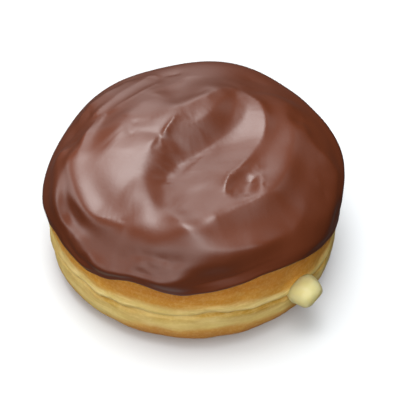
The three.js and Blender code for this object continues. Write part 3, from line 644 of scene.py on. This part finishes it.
# ------------------------------------------------------------------ floor, light, camera
floor_mesh = bpy.data.meshes.new("floor")
floor_mesh.from_pydata([(-6, -6, 0), (6, -6, 0), (6, 6, 0), (-6, 6, 0)], [], [(0, 1, 2, 3)])
floor = bpy.data.objects.new("floor", floor_mesh)
bpy.context.scene.collection.objects.link(floor)
fm = Nodes("floor")
fm.set(Base_Color=(0.82, 0.845, 0.865, 1), Roughness=0.9, Specular_IOR_Level=0.1)
floor_mesh.materials.append(fm.mat)
floor.visible_glossy = False
floor.visible_diffuse = False
floor.visible_shadow = False

# what the pale floor throws back at the dough's side and the custard: a soft lamp from low in front that gives no highlight
lamp_data = bpy.data.lights.new("underlight", "AREA")
lamp_data.shape, lamp_data.size = "DISK", 0.5
lamp_data.energy = 0.42
lamp = bpy.data.objects.new("underlight", lamp_data)
bpy.context.scene.collection.objects.link(lamp)
lamp.location = (-0.05, -0.42, -0.26)
lamp.rotation_mode = "QUATERNION"
lamp.rotation_quaternion = Vector((0.05, 0.42, 0.27)).to_track_quat("-Z", "Y")
lamp.visible_glossy = False
lamp.visible_camera = False
lit = bpy.data.collections.new("lit_from_below")
lit.objects.link(dough)
lit.objects.link(custard)
lamp.light_linking.receiver_collection = lit


# the studio: soft boxes as smooth lobes of the world (azimuth from +X towards +Y, elevation, brightness, tightness)
LOBES = [(100, 7, 0.48, 30), (120, 7, 0.21, 30), (160, 7, 1.01, 30), (180, 7, 1.30, 30), (-160, 7, 0.82, 30), (-140, 7, 0.58, 30), (-120, 7, 0.94, 30),
         (-100, 7, 0.38, 30), (95, 21, 0.95, 30), (158, 21, 0.37, 30), (179, 21, 1.13, 30), (-117, 21, 0.74, 30), (-96, 21, 0.78, 30), (24, 35, 0.72, 30),
         (48, 35, 0.15, 30), (96, 35, 1.48, 30), (168, 35, 0.39, 30), (-96, 35, 1.36, 30), (-72, 35, 1.30, 30), (-48, 35, 0.74, 30), (105, 49, 0.91, 30),
         (165, 49, 0.23, 30), (-75, 49, 1.88, 30), (-45, 49, 0.72, 30), (90, 64, 1.32, 30), (135, 64, 1.66, 30), (180, 64, 0.72, 30), (-90, 64, 1.19, 30),
         (-45, 64, 0.41, 30), (30, 82, 1.57, 30), (150, 82, 5.21, 30), (-90, 82, 2.55, 30)]
# a little of the pale room behind the far edges
LOBES += [(90, -42, 0.10, 9), (-90, -80, 0.50, 12)]
world = bpy.data.worlds.new("studio")
world.use_nodes = True
wt = world.node_tree
back = wt.nodes["Background"]
direction = wt.nodes.new("ShaderNodeTexCoord").outputs["Generated"]
total = None
for az, el, bright, tight in LOBES:
    az, el = math.radians(az), math.radians(el)
    dot = wt.nodes.new("ShaderNodeVectorMath")
    dot.operation = "DOT_PRODUCT"
    wt.links.new(direction, dot.inputs[0])
    dot.inputs[1].default_value = (math.cos(el) * math.cos(az), math.cos(el) * math.sin(az), math.sin(el))
    fall = wt.nodes.new("ShaderNodeMath")
    fall.operation = "MULTIPLY_ADD"
    wt.links.new(dot.outputs["Value"], fall.inputs[0])
    fall.inputs[1].default_value, fall.inputs[2].default_value = tight, -tight
    lobe = wt.nodes.new("ShaderNodeMath")
    lobe.operation = "EXPONENT"
    wt.links.new(fall.outputs[0], lobe.inputs[0])
    add = wt.nodes.new("ShaderNodeMath")
    add.operation = "MULTIPLY_ADD"
    wt.links.new(lobe.outputs[0], add.inputs[0])
    add.inputs[1].default_value, add.inputs[2].default_value = bright, 0.0
    if total is not None:
        wt.links.new(total, add.inputs[2])
    total = add.outputs[0]
wt.links.new(total, back.inputs["Strength"])
back.inputs["Color"].default_value = (1, 1, 1, 1)
bpy.context.scene.world = world
bpy.context.scene.view_settings.view_transform = "Standard"

# the camera looks down at 45 degrees; 400 x 400 picture
S, D = 0.2993, 598.6            # mm in a pixel at the reference point, and the camera's distance from it
REF = np.array([0.0, 0.0, 11.7])  # seen at pixel (193.8, 218.3)
E = math.radians(45.0)
forward = np.array([0.0, math.cos(E), -math.sin(E)])
up = np.array([0.0, math.sin(E), math.cos(E)])
right = np.array([1.0, 0.0, 0.0])
eye = REF - forward * D
cam_data = bpy.data.cameras.new("camera")
cam_data.sensor_width = 36.0
cam_data.lens = 36.0 * D / (400 * S)
cam_data.shift_x = (200 - 193.8) / 400
cam_data.shift_y = (218.3 - 200) / 400
cam_data.clip_start, cam_data.clip_end = 0.01, 10
cam = bpy.data.objects.new("camera", cam_data)
bpy.context.scene.collection.objects.link(cam)
cam.location = Vector(eye * MM)
cam.rotation_mode = "QUATERNION"
cam.rotation_quaternion = Vector(forward).to_track_quat("-Z", "Y")
bpy.context.scene.camera = cam
